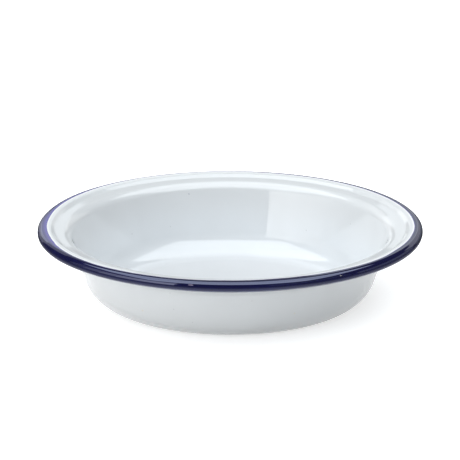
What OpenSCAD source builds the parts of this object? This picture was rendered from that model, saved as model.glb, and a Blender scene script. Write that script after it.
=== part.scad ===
// Round enamelled steel pie plate. One disc of thin sheet is pressed to a flat floor,
// a flared wall and a narrow flange that steps up to a raised border. Its edge is then
// rolled outward and under into a hollow bead, and the whole is enamelled white, with the
// bead dipped in blue.
// The z axis is the plate's own axis, and the underside rests on z = 0.

/* [Plate] */
// Diameter across the rolled edge
rim_d = 240; // [210:0.5:300]
// Height from the underside to the top of the rolled edge
height = 47.9; // [38:0.1:60]
// Thickness of the steel with the enamel on both faces
sheet_t = 1.0; // [0.6:0.05:1.4]

/* [Dish] */
// Slope of the wall above level, in degrees
wall_angle = 71.5; // [60:0.5:82]
// Inside radius of the corner between the floor and the wall
corner_r = 19.6; // [8:0.1:26]

/* [Flange] */
// Width from where the wall would meet the flange if no shoulder rounded it, out to the rim
flange_w = 20; // [18:0.1:28]
// Slope of the flange above level, in degrees
flange_angle = 8; // [4:0.5:12]
// Radius of the shoulder where the wall turns out into the flange
shoulder_r = 7.5; // [3:0.1:9]

/* [Border] */
// Width of the raised border round the flange, from the top of its step out to the rim
border_w = 8.2; // [7.7:0.1:9]
// Slope of the border above level, in degrees
border_angle = 4; // [2:0.5:7]
// Height of the step from the flange up to the border
step_h = 1.7; // [1.4:0.05:2.2]
// Slope of the step above level, in degrees
step_angle = 35; // [28:0.5:42]
// Radius of the bend at the foot of the step
step_foot_r = 3; // [1.5:0.1:3.4]
// Radius of the bend at the head of the step
step_head_r = 2; // [1.4:0.1:2.6]

/* [Rolled edge] */
// Outside diameter of the round section that the edge is rolled to
bead_d = 6.7; // [5.4:0.1:7.4]
// Clear gap between the cut end of the curl and the underside of the border
curl_gap = 0.8; // [0.4:0.05:1.4]

/* [Hidden] */
// Segments round the plate
$fn = 144;

// Unit step along a slope given in degrees above level
function slope(a) = [cos(a), sin(a)];

// Where a line through p at slope a crosses a line through q at slope b
function meet(p, a, q, b) =
    p + slope(a) * cross(q - p, slope(b)) / cross(slope(a), slope(b));

// Rolled edge: its centre, and where the border runs onto its top
bead_r = bead_d / 2;
bead_c = [rim_d / 2 - bead_r, height - bead_r];
bead_top = bead_c + bead_r * slope(border_angle + 90);

// Corners of the face that holds the pie, as they would be if no bend rounded them
step_head = meet(bead_top, border_angle, [rim_d / 2 - border_w, 0], 90);
step_foot = step_head - slope(step_angle) * step_h / sin(step_angle);
lip = meet(step_foot, flange_angle, [rim_d / 2 - flange_w, 0], 90);
floor_edge = meet(lip, wall_angle, [0, sheet_t], 0);

// The curl stops where its outer face would come within the gap of the border
curl_end = -180 + border_angle - asin((bead_r - sheet_t - curl_gap) / bead_r);

// Points on an arc of radius r about c, from angle a to angle b, at steps of about 5 degrees
function arc(c, r, a, b) =
    let (steps = max(2, ceil(abs(b - a) / 5)))
    [for (i = [0:steps]) c + r * slope(a + (b - a) * i / steps)];

// The arc that rounds a corner between slopes a and b, on the face t below the upper one.
// Its centre lies above the sheet where the sheet turns up, and below where it turns down.
function bend(corner, a, b, r, t) =
    let (side = sign(b - a), start = corner - slope(a) * r * tan(abs(b - a) / 2))
    arc(start + side * r * slope(a + 90), r + side * t, a - side * 90, b - side * 90);

// One face of the sheet from the floor to the cut end of the curl, t below the upper face
function face(t) = concat(
    bend(floor_edge, 0, wall_angle, corner_r, t),
    bend(lip, wall_angle, flange_angle, shoulder_r, t),
    bend(step_foot, flange_angle, step_angle, step_foot_r, t),
    bend(step_head, step_angle, border_angle, step_head_r, t),
    arc(bead_c, bead_r - t, border_angle + 90, curl_end)
);

function reversed(points) = [for (i = [len(points) - 1:-1:0]) points[i]];

// Half of the plate cut through its axis: up the inside and back along the underside
module sheet_section() {
    polygon(concat(
        [[0, sheet_t]], face(0),
        reversed(face(sheet_t)), [[0, 0]]
    ));
}

module pie_plate() {
    color("white")
    rotate_extrude()
    sheet_section();
}

pie_plate();
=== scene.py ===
from math import asin, cos, pi, radians, sin, tan

import bpy
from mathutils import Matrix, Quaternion, Vector


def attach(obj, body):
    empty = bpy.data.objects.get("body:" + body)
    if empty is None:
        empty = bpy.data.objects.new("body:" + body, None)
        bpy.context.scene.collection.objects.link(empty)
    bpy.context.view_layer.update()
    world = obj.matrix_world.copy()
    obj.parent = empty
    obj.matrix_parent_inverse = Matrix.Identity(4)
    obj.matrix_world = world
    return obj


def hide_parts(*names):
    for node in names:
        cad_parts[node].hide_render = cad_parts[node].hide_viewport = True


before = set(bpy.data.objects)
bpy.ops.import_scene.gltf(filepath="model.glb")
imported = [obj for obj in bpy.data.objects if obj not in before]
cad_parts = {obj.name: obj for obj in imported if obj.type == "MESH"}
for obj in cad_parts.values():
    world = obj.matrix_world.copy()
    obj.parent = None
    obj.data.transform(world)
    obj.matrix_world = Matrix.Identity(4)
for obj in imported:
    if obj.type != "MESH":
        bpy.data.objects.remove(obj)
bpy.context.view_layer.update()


# The plate is one disc of thin steel. It is pressed to a flat floor, a flared wall and a flange
# that steps up to a raised border, and its edge is rolled outward and under into a hollow bead.
# White enamel covers it all, and the bead is dipped in blue.
rim_r = 0.120
plate_h = 0.0479
sheet_t = 0.001
wall_angle = radians(71.5)
corner_r = 0.0196
flange_w = 0.0200
flange_angle = radians(8)
shoulder_r = 0.0075
border_w = 0.0082
border_angle = radians(4)
step_h = 0.0017
step_angle = radians(35)
step_foot_r = 0.003
step_head_r = 0.002
bead_r = 0.00335
curl_gap = 0.0008
spokes = 560


def along(slope):
    return Vector((cos(slope), sin(slope)))


def meet(start, start_slope, end, end_slope):
    """Where a line through one point crosses a line through another."""
    u, v, gap = along(start_slope), along(end_slope), end - start
    return start + u * ((gap.x * v.y - gap.y * v.x) / (u.x * v.y - u.y * v.x))


def arc(centre, radius, start, end, steps):
    """Points on an arc, each with the direction that its upper face looks in."""
    turns = [start + (end - start) * i / steps for i in range(steps + 1)]
    inside_out = 1 if end < start else -1
    return [(centre + radius * along(a), inside_out * along(a)) for a in turns]


def bend(corner, slope_in, slope_out, radius, depth, steps):
    """The arc that rounds a corner between two straight stretches, this deep under the upper face."""
    side = 1 if slope_out > slope_in else -1
    start = corner - along(slope_in) * radius * tan(abs(slope_out - slope_in) / 2)
    centre = start + side * radius * along(slope_in + pi / 2)
    turn = side * pi / 2
    return arc(centre, radius + side * depth, slope_in - turn, slope_out - turn, steps)


def between(start, end, steps):
    """Points inside a straight stretch, without its two ends."""
    return [(start[0].lerp(end[0], i / steps), start[1].lerp(end[1], i / steps)) for i in range(1, steps)]


bead_c = Vector((rim_r - bead_r, plate_h - bead_r))
bead_top = bead_c + bead_r * along(border_angle + pi / 2)
step_head = meet(bead_top, border_angle, Vector((rim_r - border_w, 0)), pi / 2)
step_foot = step_head - along(step_angle) * step_h / sin(step_angle)
lip = meet(step_foot, flange_angle, Vector((rim_r - flange_w, 0)), pi / 2)
floor_edge = meet(lip, wall_angle, Vector((0, sheet_t)), 0)
curl_end = border_angle - pi - asin((bead_r - sheet_t - curl_gap) / bead_r)


def white_rows(depth, fine):
    """One face of the sheet from near the axis to the head of the step; fine is its share of rows."""
    up = Vector((0, 1))
    corner = bend(floor_edge, 0, wall_angle, corner_r, depth, round(16 * fine))
    shoulder = bend(lip, wall_angle, flange_angle, shoulder_r, depth, round(11 * fine))
    foot = bend(step_foot, flange_angle, step_angle, step_foot_r, depth, round(6 * fine))
    head = bend(step_head, step_angle, border_angle, step_head_r, depth, round(7 * fine))
    axis = (Vector((0, sheet_t - depth)), up)
    rows = between(axis, corner[0], 6) + corner + between(corner[-1], shoulder[0], 4)
    rows += shoulder + between(shoulder[-1], foot[0], 3)
    return rows + foot + between(foot[-1], head[0], 2) + head


def blue_rows(depth, steps):
    """One face of the rolled edge, from the top of the bead to the cut end of the curl."""
    return arc(bead_c, bead_r - depth, border_angle + pi / 2, curl_end, steps)


# The dip line wanders round the plate: its distance from the rim, in millimetres, at each bearing.
# Bearings run from the right side of the plate, 90 at the back, and 270 at the front.
dip_line = (
    (0, 5.2), (20, 5.0), (45, 4.6), (70, 4.35), (90, 3.85), (105, 3.75), (130, 3.9), (155, 4.8),
    (178, 5.9), (194, 6.1), (199, 5.8), (204, 4.9), (210, 4.6), (218, 4.2), (227, 4.0), (236, 4.4),
    (248, 4.6), (261, 5.2), (270, 5.6), (285, 6.0), (298, 5.8), (322, 4.9), (333, 5.6), (346, 5.5),
)
# The rolled edge isn't quite round: millimetres that it stands out or in, at each bearing.
out_of_round = (
    (0, 0.3), (30, 0.2), (60, 0), (140, 0), (163, -0.45), (180, 0), (196, 0.5), (208, 0.65),
    (226, 0.4), (246, 0), (320, 0), (345, 0.25),
)
# Inside this radius the plate is truly round.
true_inside = 0.09
# How far the blue stays thin and violet, in millimetres past the dip line, at each bearing. From bearing
# 160 to 204, at the left, the wide band is partly thin blue and partly a painted reflection.
thin_and_sheen_zone = (
    (0, 0.7), (60, 0.7), (120, 0.8), (160, 2.5), (178, 5.0), (196, 5.0), (204, 3.0), (210, 0.7),
    (300, 0.6),
)
# Distances given to the middle of the floor and to the whole underside, clear of every band of colour.
at_axis, at_underside = -50, 30


def at_bearing(bearing, marks):
    """The value between marks round the plate, eased so that it is level at each mark."""
    looped = marks + ((marks[0][0] + 360, marks[0][1]),)
    for (a, low), (b, high) in zip(looped, looped[1:]):
        if a <= bearing <= b:
            return low + (high - low) * (0.5 - 0.5 * cos(pi * (bearing - a) / (b - a)))


upper, lower = white_rows(0, 1), white_rows(sheet_t, 0.75)
bead_outside, bead_inside = blue_rows(0, 32), blue_rows(sheet_t, 14)
border_slope = (bead_top - upper[-1][0]).normalized()
underside = [(p, -n) for p, n in lower + bead_inside][::-1]


def section(bearing):
    """The whole outline at one bearing, as place, facing, and distance from the dip line."""
    # A dipped edge is never quite even: the line wavers by up to a tenth of a millimetre.
    waver = 0.06 * sin(radians(bearing * 11)) + 0.04 * sin(radians(bearing * 23 + 40))
    dip = at_bearing(bearing, dip_line) + waver
    dip_at = upper[-1][0] + border_slope * (rim_r - dip / 1000 - upper[-1][0].x) / border_slope.x
    line = (dip_at, bead_outside[0][1])
    border = between(upper[-1], line, 3) + [line] + between(line, bead_outside[0], 3)
    marked = [(p, n, (p.x - dip_at.x) * 1000) for p, n in upper + border]
    reach = (bead_outside[0][0].x - dip_at.x) * 1000
    round_bead = bead_r * (border_angle + pi / 2 - curl_end) * 1000 / (len(bead_outside) - 1)
    marked += [(p, n, reach + i * round_bead) for i, (p, n) in enumerate(bead_outside)]
    return marked + [(p, n, at_underside) for p, n in underside]


points = [(0, 0, sheet_t), (0, 0, 0)]
facings = [(0, 0, 1), (0, 0, -1)]
from_line, thin_and_sheen = [at_axis, at_underside], [0, 0]
for spoke in range(spokes):
    bearing = 360 * spoke / spokes
    turn = radians(bearing)
    stand_out = at_bearing(bearing, out_of_round) / 1000
    for place, facing, distance in section(bearing):
        share = min(max((place.x - true_inside) / (rim_r - true_inside), 0), 1)
        radius = place.x + stand_out * share * share
        points.append((radius * cos(turn), radius * sin(turn), place.y))
        facings.append((facing.x * cos(turn), facing.x * sin(turn), facing.y))
        from_line.append(distance)
        thin_and_sheen.append(1 - min(max(distance, 0) / at_bearing(bearing, thin_and_sheen_zone), 1))
# Blue faces run from the dip line, two rows past the step, round the curl and back along its inside.
rows = (len(points) - 2) // spokes
first_blue = len(upper) + 2
faces, blue_faces = [], []
for spoke in range(spokes):
    here = 2 + spoke * rows
    there = 2 + (spoke + 1) % spokes * rows
    faces += [(0, here, there), (1, there + rows - 1, here + rows - 1)]
    blue_faces += [0, 0]
    for row in range(rows - 1):
        faces.append((here + row, here + row + 1, there + row + 1, there + row))
        blue_faces.append(int(first_blue <= row < rows - len(lower) - 1))

plate_mesh = bpy.data.meshes.new("plate")
plate_mesh.from_pydata(points, [], faces)
plate_mesh.shade_smooth()
plate_mesh.polygons.foreach_set("material_index", blue_faces)
plate_mesh.normals_split_custom_set_from_vertices(facings)
plate_mesh.attributes.new("from_line", "FLOAT", "POINT").data.foreach_set("value", from_line)
plate_mesh.attributes.new("thin_and_sheen", "FLOAT", "POINT").data.foreach_set("value", thin_and_sheen)
plate = bpy.data.objects.new("plate", plate_mesh)
bpy.context.scene.collection.objects.link(plate)


# Both colours are one vitreous enamel, fired on as glass: it flows to a gloss, with a faint ripple
# and a finer skin like orange peel, and it fires a little unevenly from place to place.
def put(tree, kind, inputs=None, **settings):
    """A node with its settings and its inputs, each a value or another node's output."""
    node = tree.nodes.new("ShaderNode" + kind)
    for setting, value in settings.items():
        setattr(node, setting, value)
    for name, value in (inputs or {}).items():
        if isinstance(value, bpy.types.NodeSocket):
            tree.links.new(value, node.inputs[name])
        else:
            node.inputs[name].default_value = value
    return node


def new_group(name, inputs, outputs):
    """An empty node group with its sockets, its input node and its output node."""
    group = bpy.data.node_groups.new(name, "ShaderNodeTree")
    for socket, kind in inputs:
        group.interface.new_socket(name=socket, in_out="INPUT", socket_type="NodeSocket" + kind)
    for socket, kind in outputs:
        group.interface.new_socket(name=socket, in_out="OUTPUT", socket_type="NodeSocket" + kind)
    return group, group.nodes.new("NodeGroupInput"), group.nodes.new("NodeGroupOutput")


glaze, given, result = new_group(
    "fired_glaze",
    (("Ripple Height", "Float"), ("Peel Height", "Float"), ("Gloss", "Float"), ("Dull", "Float")),
    (("Height", "Float"), ("Roughness", "Float"), ("Uneven", "Float")),
)
where = put(glaze, "TexCoord").outputs["Object"]
ripple = put(glaze, "TexNoise", {"Vector": where, "Scale": 42, "Detail": 1, "Roughness": 0.4})
peel = put(glaze, "TexNoise", {"Vector": where, "Scale": 430, "Detail": 1.5, "Roughness": 0.5})
patches = put(glaze, "TexNoise", {"Vector": where, "Scale": 24, "Detail": 3, "Roughness": 0.6})
rippled = put(glaze, "Math", {0: ripple.outputs["Fac"], 1: given.outputs["Ripple Height"]},
              operation="MULTIPLY").outputs[0]
height = put(glaze, "Math", {0: peel.outputs["Fac"], 1: given.outputs["Peel Height"], 2: rippled},
             operation="MULTIPLY_ADD")
sheen = put(glaze, "MapRange", {"Value": patches.outputs["Fac"], "From Min": 0.3, "From Max": 0.7,
                                "To Min": given.outputs["Gloss"], "To Max": given.outputs["Dull"]})
glaze.links.new(height.outputs[0], result.inputs["Height"])
glaze.links.new(sheen.outputs[0], result.inputs["Roughness"])
glaze.links.new(patches.outputs["Fac"], result.inputs["Uneven"])

spot, given, result = new_group("spot", (("Place", "Vector"), ("Size", "Float")), (("Mask", "Float"),))
solid_share = 0.35
where = put(spot, "TexCoord").outputs["Object"]
off = put(spot, "VectorMath", {0: where, 1: given.outputs["Place"]}, operation="DISTANCE").outputs["Value"]
core = put(spot, "Math", {0: given.outputs["Size"], 1: solid_share}, operation="MULTIPLY").outputs[0]
mask = put(spot, "MapRange", {"Value": off, "From Min": core, "From Max": given.outputs["Size"],
                              "To Min": 1.0, "To Max": 0.0}, interpolation_type="SMOOTHSTEP")
spot.links.new(mask.outputs[0], result.inputs["Mask"])


def spots(tree, marks):
    """One mask for small marks, each given as bearing, distance from the axis, height, and size in mm."""
    total = None
    for bearing, radius, height, size in marks:
        turn = radians(bearing)
        place = (radius * cos(turn), radius * sin(turn), height)
        mark = put(tree, "Group", node_tree=spot)
        mark.inputs["Place"].default_value = [part / 1000 for part in place]
        mark.inputs["Size"].default_value = size / 1000
        mask = mark.outputs["Mask"]
        if total is not None:
            mask = put(tree, "Math", {0: total, 1: mask}, operation="MAXIMUM").outputs[0]
        total = mask
    return total


def layer(tree, under, over, mask):
    """One colour laid over another where the mask is 1."""
    mix = put(tree, "Mix", data_type="RGBA")
    tree.links.new(mask, mix.inputs[0])
    for socket, value in ((mix.inputs[6], under), (mix.inputs[7], over)):
        if isinstance(value, bpy.types.NodeSocket):
            tree.links.new(value, socket)
        else:
            socket.default_value = (*value, 1)
    return mix.outputs[2]


def band(tree, value, start, end, low=0.0, high=1.0):
    """A value that runs from low to high between two distances from the dip line, in millimetres."""
    ends = {"Value": value, "From Min": start, "From Max": end, "To Min": low, "To Max": high}
    return put(tree, "MapRange", ends, interpolation_type="SMOOTHSTEP").outputs[0]


def new_enamel(name):
    """An enamel on the plate: its nodes, its shader, its glaze, and the distance from the dip line."""
    material = bpy.data.materials.new(name)
    material.use_nodes = True
    tree = material.node_tree
    shader = tree.nodes["Principled BSDF"]
    glazed = put(tree, "Group", node_tree=glaze)
    distance = put(tree, "Attribute", attribute_name="from_line").outputs["Fac"]
    plate_mesh.materials.append(material)
    return tree, shader, glazed, distance


# White enamel covers the steel inside and out. Its shade is painted by place: darker on the dish's floor
# and outside as painted shade, lighter and bluer up the dish's wall as painted light, and whitest in the
# thin ridge beside the blue as a painted highlight. It keeps a few pinholes, faint brown specks and one
# grey smudge from firing, and the press has left fine rings in the dish's corner.
white = (0.735, 0.755, 0.77)
white_wall_painted_light = (0.83, 0.865, 0.895)
white_floor_painted_shade = (0.63, 0.642, 0.658)
white_outside_painted_shade = (0.685, 0.705, 0.715)
white_ridge_painted_highlight = (0.9, 0.9, 0.9)
white_cloud = (0.72, 0.745, 0.765)
pinhole_colour = (0.55, 0.56, 0.58)
speck_colour = (0.70, 0.67, 0.58)
smudge_colour = (0.34, 0.37, 0.45)
pinholes = (
    (248.3, 96.8, 31.8, 0.5), (277.9, 95.7, 28.5, 0.45), (248.7, 93.0, 20.4, 0.55),
    (255.6, 90.2, 12.3, 0.45), (133.7, 91.8, 20.1, 0.45), (57.2, 91.6, 19.4, 0.4),
    (35.6, 95.3, 30.4, 0.4), (115.1, 91.8, 20.0, 0.35),
)
specks = ((234.7, 91.3, 15.5, 0.9), (295.1, 91.7, 16.7, 0.7))
smudges = ((105.9, 98.1, 38.8, 0.5), (106.1, 98.4, 39.1, 0.35))
pinhole_depth = 0.00003
ring_spacing = 2.6
ring_height = 0.000004
tree, shader, glazed, distance = new_enamel("white_enamel")
shader.inputs["IOR"].default_value = 1.85
glazed.inputs["Ripple Height"].default_value = 0.00003
glazed.inputs["Peel Height"].default_value = 0.0000015
glazed.inputs["Gloss"].default_value = 0.02
glazed.inputs["Dull"].default_value = 0.05
# Floor, wall, flange, ridge and outside follow one another, by their distance from the dip line: painted
# shade on the floor and outside, painted light on the wall, and a painted highlight on the ridge.
pinned = spots(tree, pinholes)
colour = layer(tree, white_floor_painted_shade, white_wall_painted_light, band(tree, distance, -48, -30))
for shade, start, end in ((white, -26, -17), (white_ridge_painted_highlight, -1.3, -0.5), (white_outside_painted_shade, 15, 25)):
    colour = layer(tree, colour, shade, band(tree, distance, start, end))
clouds = put(tree, "MapRange", {"Value": glazed.outputs["Uneven"], "From Min": 0.3, "From Max": 0.7,
                                "To Min": 0.0, "To Max": 0.25}).outputs[0]
colour = layer(tree, colour, white_cloud, clouds)
colour = layer(tree, colour, speck_colour, spots(tree, specks))
colour = layer(tree, colour, smudge_colour, spots(tree, smudges))
colour = layer(tree, colour, pinhole_colour, pinned)
tree.links.new(colour, shader.inputs["Base Color"])
tree.links.new(glazed.outputs["Roughness"], shader.inputs["Roughness"])
pitted = put(tree, "Math", {0: pinned, 1: -pinhole_depth, 2: glazed.outputs["Height"]},
             operation="MULTIPLY_ADD").outputs[0]
turned = put(tree, "Math", {0: distance, 1: 2 * pi / ring_spacing, 2: glazed.outputs["Uneven"]},
             operation="MULTIPLY_ADD").outputs[0]
wave = put(tree, "Math", {0: turned}, operation="SINE").outputs[0]
# The rings come in at the edge of the floor, and die away up the wall.
pressed = put(tree, "Math", {0: band(tree, distance, -50, -44), 1: band(tree, distance, -24, -28)},
              operation="MULTIPLY").outputs[0]
rings = put(tree, "Math", {0: wave, 1: pressed}, operation="MULTIPLY").outputs[0]
relief = put(tree, "Math", {0: rings, 1: ring_height, 2: pitted}, operation="MULTIPLY_ADD").outputs[0]
bumped = put(tree, "Bump", {"Height": relief, "Strength": 1.0, "Distance": 1.0})
tree.links.new(bumped.outputs["Normal"], shader.inputs["Normal"])

# Dark blue enamel is dipped over the bead. It is nearly black where it is thick, and thins to violet
# where it meets the white; at the left the violet band is widened into a painted reflection. Two small
# light marks on the front, a streak and a spot, are painted highlights.
blue_thick = (0.0020, 0.0030, 0.028)
blue_thin = (0.007, 0.006, 0.06)
violet = (0.10, 0.08, 0.34)
# The streak and the spot are painted highlights: lighter colour laid on the blue where it glints.
streak_glint_colour = (0.36, 0.31, 0.42)
spot_glint_colour = (0.45, 0.42, 0.42)
spot_glints = ((303.3, 119.5, 46.2, 0.45), (303.7, 119.6, 46.0, 0.3))
streak_glints = (
    (258.3, 119.8, 46.0, 0.35), (258.6, 119.8, 46.0, 0.45), (258.9, 119.8, 46.0, 0.45),
    (259.2, 119.8, 46.0, 0.45), (259.5, 119.8, 46.0, 0.35),
)
tree, shader, glazed, distance = new_enamel("blue_enamel")
shader.inputs["IOR"].default_value = 2.2
shader.inputs["Specular Tint"].default_value = (0.70, 0.76, 1.0, 1)
glazed.inputs["Ripple Height"].default_value = 0.00006
glazed.inputs["Peel Height"].default_value = 0.0000015
glazed.inputs["Gloss"].default_value = 0.02
glazed.inputs["Dull"].default_value = 0.045
colour = layer(tree, blue_thick, blue_thin, glazed.outputs["Uneven"])
# The violet band is thin blue, and at the left also a painted reflection.
thin_and_sheen_mask = put(tree, "Attribute", attribute_name="thin_and_sheen").outputs["Fac"]
colour = layer(tree, colour, violet, band(tree, thin_and_sheen_mask, 0.0, 1.0))
colour = layer(tree, colour, streak_glint_colour, spots(tree, streak_glints))
colour = layer(tree, colour, spot_glint_colour, spots(tree, spot_glints))
tree.links.new(colour, shader.inputs["Base Color"])
tree.links.new(glazed.outputs["Roughness"], shader.inputs["Roughness"])
bumped = put(tree, "Bump", {"Height": glazed.outputs["Height"], "Strength": 1.0, "Distance": 1.0})
tree.links.new(bumped.outputs["Normal"], shader.inputs["Normal"])

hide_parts("pie_plate")
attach(plate, "root")


# The camera stands in front of the plate and a little above it, as in the photograph. It is far back
# with a long lens, so that the near and the far rim keep nearly one size.
camera_distance = 1.92
camera_lift = radians(17.22)
camera_aim = Vector((0, 0, 0.04343))
camera_roll = radians(0.078)
focal_pixels = 3073
photo_width = 460
sensor_width = 36
camera = bpy.data.objects.new("camera", bpy.data.cameras.new("camera"))
bpy.context.scene.collection.objects.link(camera)
back = Vector((0, -cos(camera_lift), sin(camera_lift)))
camera.location = camera_aim + back * camera_distance
camera.rotation_mode = "QUATERNION"
camera.rotation_quaternion = (-back).to_track_quat("-Z", "Y") @ Quaternion((0, 0, 1), camera_roll)
camera.data.sensor_width = sensor_width
camera.data.lens = focal_pixels / photo_width * sensor_width
camera.data.clip_end = 50
bpy.context.scene.camera = camera

# The plate stands on a wide white table. To the camera and in reflections the table glows a little,
# so that it reads as white, and it keeps the plate's shadow. From below it is clear, and it lies a
# hair under the plate, so that the two faces stay apart.
def flat_card(name, corners, material):
    """A flat card or table top of the studio, which isn't part of the plate."""
    card_mesh = bpy.data.meshes.new(name)
    card_mesh.from_pydata(corners, [], [tuple(range(len(corners)))])
    card_mesh.materials.append(material)
    card = bpy.data.objects.new(name, card_mesh)
    bpy.context.scene.collection.objects.link(card)
    return card


def seen_level(tree, shown, otherwise):
    """One level for camera, mirror and clear rays, and another for light that spreads."""
    path = put(tree, "LightPath").outputs
    seen = path["Is Camera Ray"]
    for ray in ("Is Glossy Ray", "Is Transmission Ray"):
        seen = put(tree, "Math", {0: seen, 1: path[ray]}, operation="MAXIMUM").outputs[0]
    return put(tree, "MapRange", {"Value": seen, "To Min": otherwise, "To Max": shown}).outputs[0]


table_glow = 0.57
table_reach = 6.0
table_top = -0.0002
table_material = bpy.data.materials.new("table_white")
table_material.use_nodes = True
tree = table_material.node_tree
tree.nodes.clear()
matt = put(tree, "BsdfDiffuse", {"Color": (0.88, 0.88, 0.88, 1)})
shine = put(tree, "Emission", {"Color": (1, 1, 1, 1), "Strength": seen_level(tree, table_glow, 0.0)})
both = put(tree, "AddShader", {0: matt.outputs[0], 1: shine.outputs[0]})
clear = put(tree, "BsdfTransparent")
from_below = put(tree, "NewGeometry").outputs["Backfacing"]
one_sided = put(tree, "MixShader", {0: from_below, 1: both.outputs[0], 2: clear.outputs[0]})
tree.links.new(one_sided.outputs[0], put(tree, "OutputMaterial").inputs["Surface"])
square = ((-1, -1), (1, -1), (1, 1), (-1, 1))
flat_card("floor", [(x * table_reach, y * table_reach, table_top) for x, y in square], table_material)

# Beyond the table the room is pale to the camera, and spreads a weak, even light. Its dark walls and
# ceiling are plain cards, which show only in the enamel.
room_shown = 1.0
room_spread = 0.3
world = bpy.data.worlds.new("studio")
bpy.context.scene.world = world
world.use_nodes = True
tree = world.node_tree
tree.links.new(seen_level(tree, room_shown, room_spread), tree.nodes["Background"].inputs["Strength"])
tree.nodes["Background"].inputs["Color"].default_value = (1, 1, 1, 1)

room_level = 0.05
room_reach = 3.2
room_height = 2.6
wall_foot = 0.001
room_material = bpy.data.materials.new("room_grey")
room_material.use_nodes = True
tree = room_material.node_tree
tree.nodes.clear()
dim = put(tree, "Emission", {"Color": (1, 1, 1, 1), "Strength": room_level})
tree.links.new(dim.outputs[0], put(tree, "OutputMaterial").inputs["Surface"])


def hidden_card(name, corners, material):
    """A card that only reflections meet: it throws no light, and the camera looks through it."""
    card = flat_card(name, corners, material)
    card.visible_camera = False
    card.visible_shadow = False
    card.visible_diffuse = False


for side, wall in enumerate(("front", "right", "back", "left")):
    foot = [(x * room_reach, y * room_reach, wall_foot) for x, y in (square[side], square[(side + 1) % 4])]
    head = [(x, y, room_height) for x, y, z in foot[::-1]]
    hidden_card(f"wall_{wall}", foot + head, room_material)
hidden_card("ceiling", [(x * room_reach, y * room_reach, room_height) for x, y in square], room_material)

# A dark cloth lies on the table round the plate, and fades to pale where it comes near the rim. It
# shows only in the enamel: it keeps the blue deep, and lightens the foot of the rolled edge.
cloth_hole = 0.118
cloth_fade_end = 0.24
cloth_reach = 4.5
cloth_top = 0.002
quarter_steps = 24
cloth_pale = 0.65
cloth_dark = 0.1
cloth_material = room_material.copy()
cloth_material.name = "dark_cloth"
tree = cloth_material.node_tree
where = put(tree, "TexCoord").outputs["Object"]
off = put(tree, "VectorMath", {0: where}, operation="LENGTH").outputs["Value"]
level = put(tree, "MapRange", {"Value": off, "From Min": cloth_hole, "From Max": cloth_fade_end,
                               "To Min": cloth_pale, "To Max": cloth_dark}).outputs[0]
tree.links.new(level, tree.nodes["Emission"].inputs["Strength"])
for side in range(4):
    turns = [radians(90 * (side + step / quarter_steps)) for step in range(quarter_steps + 1)]
    corners = [(cloth_reach * cos(turn), cloth_reach * sin(turn), cloth_top) for turn in turns]
    corners += [(cloth_hole * cos(turn), cloth_hole * sin(turn), cloth_top) for turn in turns[::-1]]
    hidden_card(f"cloth_{side}", corners, cloth_material)


# Soft boxes light the plate. A bearing of 0 is the camera's side, 90 the right, 180 the back and 270
# the left. Each upright box is given by its bearing, its foot and head, its width, its glow and its
# tone. The glow is how bright its face looks, where 1 is white.
def softbox(name, place, faces, width, height, glow, tone):
    """A soft box at a place, turned to face one way, with its glow and its tone."""
    lamp = bpy.data.lights.new(name, "AREA")
    lamp.shape = "RECTANGLE"
    lamp.size, lamp.size_y = width, height
    lamp.energy = glow * pi * width * height
    lamp.color = tone
    box = bpy.data.objects.new(name, lamp)
    box.location = place
    box.rotation_euler = (-Vector(faces)).to_track_quat("Z", "Y").to_euler()
    bpy.context.scene.collection.objects.link(box)
    return box


def upright_box(name, bearing, low, high, width, glow, tone):
    """A soft box that stands upright round the table, from one height to another."""
    side = radians(bearing - 90)
    place = (box_reach * cos(side), box_reach * sin(side), (low + high) / 2)
    return softbox(name, place, (-cos(side), -sin(side), 0), width, high - low, glow, tone)


box_reach = 1.7
cool = (0.95, 1.0, 1.03)
cooler = (0.85, 0.96, 1.06)
warm = (1.02, 1.0, 0.98)

# Two wide boxes hang over the table, with a narrow seam between them.
overhead_height = 1.4
softbox("overhead_front", (0, -0.55, overhead_height), (0, 0, -1), 2.5, 0.92, 1.8, cool)
softbox("overhead_back", (-0.05, 0.425, overhead_height), (0, 0, -1), 2.4, 0.95, 1.6, cool)

# A curved bank stands at the left. It is brightest beside the camera, and fades away to the back.
# Two soft fills light the plate too, and don't show in the enamel.
bank_boxes = 6
bank_first = 323
bank_turn = 12
bank_glow = 1.35
bank_width = 2 * box_reach * tan(radians(bank_turn / 2))
for step in range(bank_boxes):
    fade = 0.5 + 0.5 * cos(pi * step / (bank_boxes + 0.5))
    bearing = bank_first - bank_turn * step
    upright_box(f"bank_{step}", bearing, 0.01, 1.15, bank_width, bank_glow * fade, warm)
upright_box("fill_left", 238, 0.1, 1.15, 1.9, 1.25, warm).visible_glossy = False
upright_box("fill_front", 335, 0.1, 1.15, 1.9, 1.05, cool).visible_glossy = False

# White sheets hang behind the plate and round to its right, brightest at the back and dim near the
# table. A weak box fills from the right, beside the camera.
upright_box("sheet_behind", 190, 0.4, 0.8, 1.3, 0.65, cool)
upright_box("sheet_left", 208, 0.01, 1.25, 0.85, 0.4, warm)
upright_box("sheet_right", 152, 0.3, 0.85, 1.25, 0.55, warm)
upright_box("sheet_low", 172, 0.01, 0.3, 2.4, 0.25, cool)
upright_box("sheet_side", 104, 0.01, 0.6, 1.7, 0.25, cool)
upright_box("fill_right", 48, 0.3, 1.15, 1.6, 0.1, cooler)

bpy.context.scene.view_settings.view_transform = "Standard"
